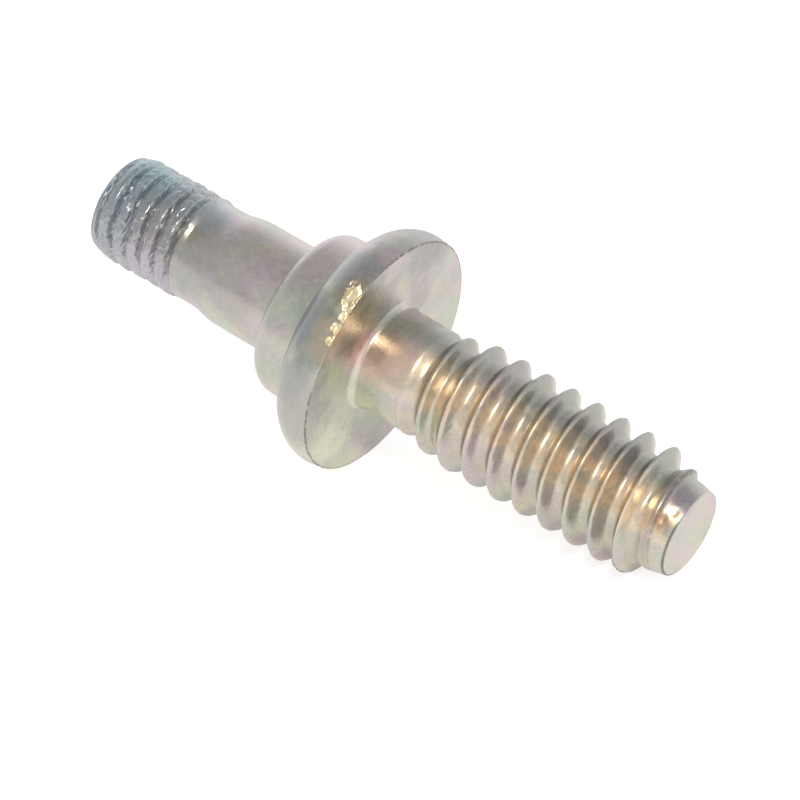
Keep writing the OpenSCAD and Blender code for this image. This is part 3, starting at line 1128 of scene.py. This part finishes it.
@dataclass(frozen=True)
class PlatedSteel:
    """Satin zinc plating with a pale iridescent film, dark edge lines, wear and chips, and painted shade and
    highlights.
    """

    base: Colour = (0.585, 0.568, 0.55)
    fine: Colour = (0.40, 0.43, 0.46)
    valley: Colour = (0.54, 0.57, 0.62)
    # Painted shade in the coarse thread's grooves
    groove_shade: Colour = (0.55, 0.52, 0.38)
    # A painted warm highlight, partly the film's own warm colour
    warm: Colour = (1.0, 0.79, 0.56)
    # Painted shade on the upper side
    upper_shade: Colour = (0.34, 0.34, 0.33)
    chip: Colour = (1.0, 0.86, 0.54)
    line: Colour = (0.23, 0.21, 0.19)
    # How strongly each colour covers what lies under it
    lilac_amount: float = 0.55
    green_amount: float = 0.55
    gold_amount: float = 0.3
    fine_amount: float = 0.82
    valley_amount: float = 0.55
    groove_shade_amount: float = 0.32
    warm_highlight_amount: float = 0.8
    upper_shade_amount: float = 0.65
    line_amount: float = 0.9
    # How strongly the painted shade on the land before each coarse crest shows
    foot_shade_amount: float = 0.42
    # The sides, in degrees round the screw, of the painted warm highlight, of the painted shade on the upper
    # side and of the end face's dark line, with how far towards them each mask starts and is full
    highlight_side: float = 228
    highlight_reach: Limits = (0.8, 0.98)
    upper_shade_side: float = 165
    upper_shade_reach: Limits = (0.8, 0.97)
    lined_side: float = 290
    lined_reach: Limits = (0.2, 0.6)
    # How unevenly the painted warm highlight and the lines show, as values of the noises between which each
    # mask starts and is full
    warm_noise: Pattern = (0.9, 2.0, 0.5)
    warm_limits: Limits = (0.25, 0.6)
    seat_line_limits: Limits = (0.42, 0.52)
    crest_line_limits: Limits = (0.34, 0.5)
    # Brightness of the mottle and of the speckle: level, contrast, and what the fine thread adds to each
    mottle_level: float = 0.82
    mottle_contrast: float = 0.34
    speckle_level: float = 0.85
    speckle_contrast: float = 0.3
    fine_level: float = -0.18
    fine_contrast: float = 0.35
    metallic: float = 0.92
    roughness_low: float = 0.24
    roughness_high: float = 0.36
    worn_roughness: float = -0.02
    warm_roughness: float = 0.05
    chip_roughness: float = 0.02
    # How patterns are drawn out round the screw by wear: the side, and the scale there
    streak_side: float = 222
    streak_scale: tuple[float, float, float] = (1.0, 2.6, 1.0)
    # How steeply the chips on the rim lean to the front, how uneven they are, and their noises
    chip_lean: float = 0.34
    chip_unevenness: float = 0.6
    chip_noise: Pattern = (2.0, 1.0, 0.5)
    flake_noise: Pattern = (2.6, 2.0, 0.55)
    flake_limits: Limits = (0.33, 0.41)
    # The bumps of the plating and of its chips, and the fine thread's pits with the coarse thread's share
    grain_strength: float = 0.12
    grain_depth: float = 0.04
    chip_depth: float = 1.0
    pit_depth: float = 0.06
    pit_noise: Pattern = (2.4, 1.0, 0.5)
    pit_limits: Limits = (0.75, 0.45)
    dent_noise: Pattern = (1.5, 2.0, 0.5)
    coarse_pits: float = 0.14
    chips: tuple[Patch, ...] = (
        Patch(-0.85, 209, 8.75, 0.8, 0.9), Patch(-0.62, 213.5, 8.75, 1.15, 1.0),
        Patch(-0.3, 218, 8.72, 0.95, 1.0), Patch(-0.12, 223, 8.7, 0.75, 1.0),
        Patch(-0.1, 229, 8.7, 0.65, 1.0), Patch(-0.12, 235, 8.7, 0.6, 1.0),
    )
    tint_and_shade_zones: tuple[TintAndShadeZone, ...] = (
        # Neck, seat face and rim
        TintAndShadeZone(1.7, 230, 3.8, 2.8, 0.85, (1.0, 0.73, 0.60)),
        # Painted shade that dulls the lamp's highlight on the neck and darkens the neck's upper side beside
        # the flange
        TintAndShadeZone(1.1, 213, 3.8, 1.3, 0.5, (0.58, 0.46, 0.37)),
        TintAndShadeZone(0.7, 195, 3.8, 1.5, 0.6, (0.44, 0.47, 0.36)),
        TintAndShadeZone(2.2, 191, 3.8, 1.2, 0.6, (0.56, 0.53, 0.45)),
        # Painted reflection of a dark room on the top of the neck
        TintAndShadeZone(0.0, 140, 4.6, 2.0, 0.6, (0.36, 0.40, 0.31)),
        TintAndShadeZone(0.0, 150, 7.0, 3.4, 0.7, (0.62, 0.54, 0.60)),
        TintAndShadeZone(0.0, 300, 6.0, 5.2, 0.9, (0.76, 0.79, 0.64)),
        TintAndShadeZone(0.0, 262, 7.2, 2.8, 0.7, (0.72, 0.73, 0.55)),
        TintAndShadeZone(0.0, 214, 7.0, 2.8, 0.75, (0.66, 0.57, 0.39)),
        TintAndShadeZone(0.0, 192, 6.0, 1.7, 0.6, (0.46, 0.45, 0.38)),
        # Painted shade over the lamp's highlight on the seat face
        TintAndShadeZone(0.0, 229, 6.2, 2.6, 0.95, (0.27, 0.25, 0.18)),
        TintAndShadeZone(0.0, 226, 7.4, 1.6, 0.7, (0.40, 0.37, 0.27)),
        # Painted shade on the rim's upper side
        TintAndShadeZone(-0.5, 158, 8.8, 4.6, 0.75, (0.38, 0.40, 0.39)),
        # Painted reflections of a dark room: darker bands on the back of the flange and on the rim
        TintAndShadeZone(-2.3, 232, 8.2, 4.0, 0.8, (0.32, 0.35, 0.36)),
        TintAndShadeZone(-1.8, 260, 8.4, 3.0, 0.8, (0.38, 0.39, 0.39)),
        TintAndShadeZone(-1.6, 202, 8.5, 3.2, 0.7, (0.38, 0.41, 0.42)),
        TintAndShadeZone(-0.3, 236, 8.8, 2.2, 0.75, (0.60, 0.51, 0.36)),
        TintAndShadeZone(-0.3, 214, 8.8, 2.4, 0.7, (0.46, 0.40, 0.29)),
        # Painted shade: a darker band on the rim
        TintAndShadeZone(-0.5, 279, 8.8, 4.4, 0.7, (0.46, 0.46, 0.45)),
        TintAndShadeZone(-2.5, 303, 8.2, 1.8, 0.6, (0.76, 0.76, 0.76)),
        # Collar and shank
        TintAndShadeZone(-4.8, 175, 6.0, 3.4, 0.6, (0.72, 0.60, 0.65)),
        TintAndShadeZone(-5.2, 272, 6.0, 3.4, 0.6, (0.54, 0.56, 0.50)),
        # Painted reflection of a dark room: a darker band along the shank
        TintAndShadeZone(-10.2, 257, 4.0, 2.8, 0.7, (0.47, 0.45, 0.44)),
        TintAndShadeZone(-13.2, 184, 4.0, 2.4, 0.6, (0.72, 0.60, 0.65)),
        TintAndShadeZone(-15.2, 187, 3.7, 2.6, 0.55, (0.50, 0.59, 0.65)),
        # Painted shade over the lamp's highlight on the relief, also toning down its glint
        TintAndShadeZone(-14.6, 246, 3.7, 4.0, 0.8, (0.42, 0.42, 0.42)),
        TintAndShadeZone(-15.5, 222, 3.7, 1.2, 0.75, (0.42, 0.40, 0.33)),
        TintAndShadeZone(-20.9, 184, 3.9, 4.0, 0.75, (0.43, 0.56, 0.60)),
        TintAndShadeZone(-18.0, 292, 3.9, 3.4, 0.6, (0.62, 0.55, 0.64)),
        TintAndShadeZone(-18.6, 236, 3.9, 2.6, 0.55, (0.46, 0.42, 0.43)),
        TintAndShadeZone(-21.4, 240, 3.9, 3.2, 0.5, (0.42, 0.46, 0.52)),
        # Tip
        TintAndShadeZone(24.0, 232, 3.4, 1.0, 0.75, (0.58, 0.35, 0.20)),
        TintAndShadeZone(24.6, 196, 3.2, 1.5, 0.75, (0.46, 0.42, 0.52)),
        TintAndShadeZone(25.1, 170, 2.0, 2.2, 0.5, (0.74, 0.62, 0.62)),
    )

    def build(self, screw: CollarScrew) -> bpy.types.Material:
        """Makes the material.

        Args:
            screw: The screw that it dresses.

        Returns:
            The material.
        """
        material, n = new_material("plated_steel")
        finish = Finish(n, screw)
        # Painted warm highlight on the side that faces the camera, partly the film's own colour
        warm = self.warm_highlight_mask(finish)
        streaks = n.add("ShaderNodeMapping", "drawn out round the screw", {
            "Vector": finish.local, "Rotation": (0.0, 0.0, math.radians(self.streak_side)),
            "Scale": self.streak_scale}, vector_type="TEXTURE").outputs[0]
        flakes = self.flakes(finish, streaks)
        rough = n.add("ShaderNodeMapRange", "roughness", {
            "Value": finish.mottle, "From Min": 0.3, "From Max": 0.7, "To Min": self.roughness_low,
            "To Max": self.roughness_high}).outputs[0]
        for mask, added in ((finish.fine, self.worn_roughness), (warm, self.warm_roughness),
                            (flakes, self.chip_roughness)):
            rough = n.plus(rough, n.times(mask, added))
        shader = n.add("ShaderNodeBsdfPrincipled", "", {
            "Base Color": n.mix(flakes, self.mottled(finish, self.film(finish, warm)), self.chip),
            "Roughness": rough, "Metallic": self.metallic, "Normal": self.normal(finish, streaks, flakes)})
        n.add("ShaderNodeOutputMaterial", "", {"Surface": shader.outputs[0]})
        return material

    def warm_highlight_mask(self, finish: Finish) -> Socket:
        """Masks the painted warm highlight, partly the film's own warm colour, on the side of the neck and
        the coarse thread that faces the camera.

        Args:
            finish: What the finish reads.

        Returns:
            The mask.
        """
        n = finish.n
        uneven = n.noise(finish.local, self.warm_noise, "uneven warmth")
        return n.times(n.between(finish.towards(self.highlight_side), *self.highlight_reach),
                       finish.past(finish.coarse_start, -1.3, 0.7), finish.past(finish.end_face, -0.05, -0.2),
                       n.between(uneven, *self.warm_limits))

    def film(self, finish: Finish, warm: Socket) -> Socket:
        """Lays the film's colours, the painted shade and the painted warm highlight over each other.

        Args:
            finish: What the finish reads.
            warm: Mask of the painted warm highlight, partly the film's own warm colour.

        Returns:
            The film's colour, with the painted shade and highlight.
        """
        n, screw = finish.n, finish.screw
        colour = n.add("ShaderNodeGroup", "passivation tint", {
            "Local": finish.local, "Base": self.base, "Lilac": self.lilac_amount, "Green": self.green_amount,
            "Gold": self.gold_amount}, node_tree=PassivationTint().build()).outputs["Colour"]
        # The film keeps its brightness in the fine thread's valleys, where nothing rubs it
        valley = n.times(finish.beyond(screw.fine_end.fine_d, -0.18, -0.43),
                         finish.past(finish.fine_start, -0.4, -0.9))
        # Painted shade: the coarse thread is darkened below its crests
        groove_shade = n.times(finish.beyond(screw.coarse_end.coarse_d, -0.32, -0.92), finish.coarse)
        # Painted shade: the neck and coarse thread are darkened along the upper side
        upper_shade = n.times(n.between(finish.towards(self.upper_shade_side), *self.upper_shade_reach),
                       finish.past(0.0, 0.5, 3.0), finish.past(finish.end_face, -0.05, -0.2))
        for mask, amount, tint in (
                (finish.fine, self.fine_amount, self.fine), (valley, self.valley_amount, self.valley),
                (groove_shade, self.groove_shade_amount, self.groove_shade), (warm, self.warm_highlight_amount, self.warm),
                (upper_shade, self.upper_shade_amount, self.upper_shade)):
            colour = n.mix(n.times(mask, amount), colour, tint)
        for zone in self.tint_and_shade_zones:
            colour = n.mix(zone.mask(n, finish.patches, finish.local), colour, zone.colour)
        return n.mix(n.times(self.lines(finish), self.line_amount), colour, self.line)

    def lines(self, finish: Finish) -> Socket:
        """Masks the thin dark lines at the seat's and end face's edges, and the painted shade on the fine
        end's side of each coarse crest.

        Args:
            finish: What the finish reads.

        Returns:
            The mask.
        """
        n, crest = finish.n, finish.crest
        seat_edge = n.times(finish.past(0.0, -0.11, -0.06), self.rim_mask(finish),
                            n.between(finish.towards(self.highlight_side), 0.95, 0.75),
                            n.between(finish.mottle, *self.seat_line_limits))
        end_edge = n.times(finish.past(finish.end_face, -0.16, -0.11),
                           finish.beyond(finish.screw.coarse_end.tip_d, -0.14, -0.08),
                           n.between(finish.towards(self.lined_side), *self.lined_reach))
        # Painted shade at each coarse crest's far shoulder and on the land before it; places from the crest's
        # middle, as shares of the pitch
        shoulder = n.times(n.between(crest, -0.15, -0.12), n.between(crest, -0.03, -0.05))
        foot = n.times(n.between(crest, -0.36, -0.24), n.between(crest, -0.1, -0.16), self.foot_shade_amount)
        crests = n.times(n.math("MAXIMUM", shoulder, foot), finish.coarse,
                         n.between(finish.mottle, *self.crest_line_limits))
        return n.math("MAXIMUM", n.math("MAXIMUM", seat_edge, end_edge), crests)

    def rim_mask(self, finish: Finish) -> Socket:
        """Masks the flange's rim, from just inside the seat's sharp edge outwards."""
        collar = finish.screw.collar
        return finish.beyond(collar.flange_d - 2 * collar.rim_flare, -0.17, -0.07)

    def mottled(self, finish: Finish, colour: Socket) -> Socket:
        """Darkens and lightens a colour with the grain, more strongly on the fine thread.

        Args:
            finish: What the finish reads.
            colour: The colour.

        Returns:
            The mottled colour.
        """
        n = finish.n
        shade = n.plus(n.times(finish.mottle, self.mottle_contrast), self.mottle_level)
        contrast = n.plus(n.times(finish.fine, self.fine_contrast), self.speckle_contrast)
        level = n.plus(n.times(finish.fine, self.fine_level), self.speckle_level)
        speck = n.plus(n.times(finish.grain.outputs["Speckle"], contrast), level)
        return n.mix(1.0, colour, n.times(shade, speck), mode="MULTIPLY")

    def flakes(self, finish: Finish, streaks: Socket) -> Socket:
        """Masks the chips on the rim.

        Args:
            finish: What the finish reads.
            streaks: The place on the screw, drawn out round it.

        Returns:
            The mask.
        """
        n, chipped = finish.n, 0.0
        for patch in self.chips:
            chipped = n.math("MAXIMUM", patch.mask(n, finish.patches, finish.local), chipped)
        ragged = n.times(n.noise(streaks, self.flake_noise, "flakes"), chipped)
        return n.times(n.between(ragged, *self.flake_limits), self.rim_mask(finish))

    def normal(self, finish: Finish, streaks: Socket, flakes: Socket) -> Socket:
        """Bends the normal with the plating's grain, the threads' wear and the lean of the chips.

        Args:
            finish: What the finish reads.
            streaks: The place on the screw, drawn out round it.
            flakes: Mask of the chips.

        Returns:
            The normal.
        """
        n = finish.n
        grain = n.bump("grain", finish.grain.outputs["Height"], self.grain_depth, self.grain_strength)
        pitted = n.between(n.noise(streaks, self.pit_noise, "pits"), *self.pit_limits)
        dented = n.noise(streaks, self.dent_noise, "dents")
        # The fine end's flat face has no pits
        worn = n.times(finish.fine, finish.past(finish.fine_face, 0.05, 0.3))
        worn = n.plus(worn, n.times(finish.coarse, self.coarse_pits))
        pits = n.bump("worn threads", n.times(n.plus(pitted, dented), worn), self.pit_depth, normal=grain)
        uneven = n.times(n.noise(streaks, self.chip_noise, "uneven chips"), self.chip_unevenness)
        lean = n.math("SUBTRACT", uneven, n.times(finish.along, self.chip_lean))
        return n.mix(flakes, pits, n.bump("chips leaning to the front", lean, self.chip_depth), Kind.VECTOR)


@dataclass
class Backdrop:
    """The pale floor under the screw.

    Attributes:
        half_size: Half its length, in metres.
        colour: Its colour.
        lift: How much brighter it is where it is seen.
        mirrored_lift: How much brighter it is where the screw mirrors it.
    """

    half_size: float = 1.5
    colour: Colour = (0.93, 0.93, 0.93)
    lift: float = 0.62
    mirrored_lift: float = 0.3

    def build(self) -> bpy.types.Object:
        """Makes the floor.

        Returns:
            The floor.
        """
        mesh = bpy.data.meshes.new("floor")
        h = self.half_size
        mesh.from_pydata([(-h, -h, 0), (h, -h, 0), (h, h, 0), (-h, h, 0)], [], [(0, 1, 2, 3)])
        floor = bpy.data.objects.new("floor", mesh)
        bpy.context.scene.collection.objects.link(floor)
        material, n = new_material("pale_floor")
        diffuse = n.add("ShaderNodeBsdfDiffuse", "", {"Color": self.colour})
        path = n.add("ShaderNodeLightPath")
        mirrored = n.math("MAXIMUM", path.outputs["Is Glossy Ray"], path.outputs["Is Transmission Ray"])
        lift = n.math("MAXIMUM", n.times(path.outputs["Is Camera Ray"], self.lift),
                      n.times(mirrored, self.mirrored_lift))
        glow = n.add("ShaderNodeEmission", "", {"Strength": lift})
        both = n.add("ShaderNodeAddShader", "", {0: diffuse.outputs[0], 1: glow.outputs[0]})
        n.add("ShaderNodeOutputMaterial", "", {"Surface": both.outputs[0]})
        floor.data.materials.append(material)
        return floor


def direction(azimuth: float, elevation: float) -> Vector:
    """Gives the direction to a viewer or lamp, whose azimuth is 0 on the -Y side and 90 on +X."""
    a, e = math.radians(azimuth), math.radians(elevation)
    return Vector((math.sin(a) * math.cos(e), -math.cos(a) * math.cos(e), math.sin(e)))


def hang(name: str, data: bpy.types.ID, aim: Vector, back: Vector, distance: float) -> bpy.types.Object:
    """Hangs a lamp or camera so that it looks at a point.

    Args:
        name: Its name.
        data: The lamp's or camera's data.
        aim: The point, in metres.
        back: The direction from the point to it.
        distance: How far away it is, in metres.

    Returns:
        The object.
    """
    thing = bpy.data.objects.new(name, data)
    thing.location = aim + back * distance
    thing.rotation_mode = "QUATERNION"
    thing.rotation_quaternion = (-back).to_track_quat("-Z", "Y")
    bpy.context.scene.collection.objects.link(thing)
    return thing


@dataclass(frozen=True)
class SoftLamp:
    """A square soft lamp aimed at the screw, with its distance and size in metres and its power in watts."""

    name: str = "key_lamp"
    azimuth: float = 42.0
    elevation: float = 52.0
    distance: float = 0.6
    size: float = 0.085
    power: float = 1.0
    colour: Colour = (1.0, 0.92, 0.76)

    def build(self) -> bpy.types.Object:
        """Hangs the lamp.

        Returns:
            The lamp.
        """
        data = bpy.data.lights.new(self.name, "AREA")
        data.shape, data.size, data.energy, data.color = "SQUARE", self.size, self.power, self.colour
        return hang(self.name, data, Vector(), direction(self.azimuth, self.elevation), self.distance)


@dataclass(frozen=True)
class Studio:
    """Plain soft light: a pale room with a dimmer ceiling and a bright wall behind, and a soft lamp.

    Attributes:
        lamp: The lamp.
        sky: Heights of the sky's direction, from 0 to 1, with the brightness there.
        wall_azimuth: Where the bright wall stands, in degrees.
        wall_level: How much it adds at the floor's level.
    """

    lamp: SoftLamp = SoftLamp()
    sky: tuple[tuple[float, float], ...] = ((0.0, 0.66), (0.6, 0.63), (0.85, 0.46), (1.0, 0.41))
    wall_azimuth: float = -158.0
    wall_level: float = 0.5

    def build(self) -> None:
        """Makes the world and hangs the lamp."""
        world = bpy.data.worlds.new("studio")
        bpy.context.scene.world = world
        world.use_nodes = True
        world.node_tree.nodes.clear()
        n = Nodes(world.node_tree)
        spot = n.add("ShaderNodeTexCoord").outputs["Generated"]
        height = n.add("ShaderNodeSeparateXYZ", "", {0: spot}).outputs["Z"]
        ramp = n.add("ShaderNodeValToRGB", "sky", {0: height})
        while len(ramp.color_ramp.elements) < len(self.sky):
            ramp.color_ramp.elements.new(0.5)
        for element, (place, level) in zip(ramp.color_ramp.elements, self.sky):
            element.position = place
            element.color = (level, level, level, 1.0)
        toward = n.add("ShaderNodeVectorMath", "towards the bright wall",
                       {0: spot, 1: direction(self.wall_azimuth, 0.0)}, operation="DOT_PRODUCT")
        wall = n.times(n.between(toward.outputs["Value"], 0.1, 0.9), n.between(height, 0.9, 0.0),
                       self.wall_level / self.sky[0][1])
        light = n.add("ShaderNodeBackground", "", {"Color": ramp.outputs[0], "Strength": n.plus(wall, 1.0)})
        n.add("ShaderNodeOutputWorld", "", {"Surface": light.outputs[0]})
        self.lamp.build()


@dataclass(frozen=True)
class PhotoCamera:
    """The camera at the photograph's viewing angle, with its lens and sensor in mm, the rest in metres."""

    azimuth: float = 36.1314
    elevation: float = 31.698
    distance: float = 0.277068
    aim: tuple[float, float, float] = (0.000289, 0.0, 0.005493)
    lens: float = 184.19
    sensor_width: float = 36.0
    clip: tuple[float, float] = (0.01, 20.0)

    def build(self) -> bpy.types.Object:
        """Places the camera and makes it the scene's own.

        Returns:
            The camera.
        """
        data = bpy.data.cameras.new("photo_camera")
        data.lens, data.sensor_width = self.lens, self.sensor_width
        data.clip_start, data.clip_end = self.clip
        back = direction(self.azimuth, self.elevation)
        camera = hang("photo_camera", data, Vector(self.aim), back, self.distance)
        bpy.context.scene.camera = camera
        return camera


def main() -> None:
    """Builds the screw, the studio and the camera in order."""
    logging.basicConfig(level=logging.INFO, format="%(name)s: %(message)s")
    bpy.context.scene.view_settings.view_transform = "Standard"
    screw = CollarScrew()
    piece = screw.build()
    piece.data.materials.append(PlatedSteel().build(screw))
    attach(piece, "root")
    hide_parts("collar_screw")
    Backdrop().build()
    Studio().build()
    PhotoCamera().build()


if __name__ == "__main__":
    main()
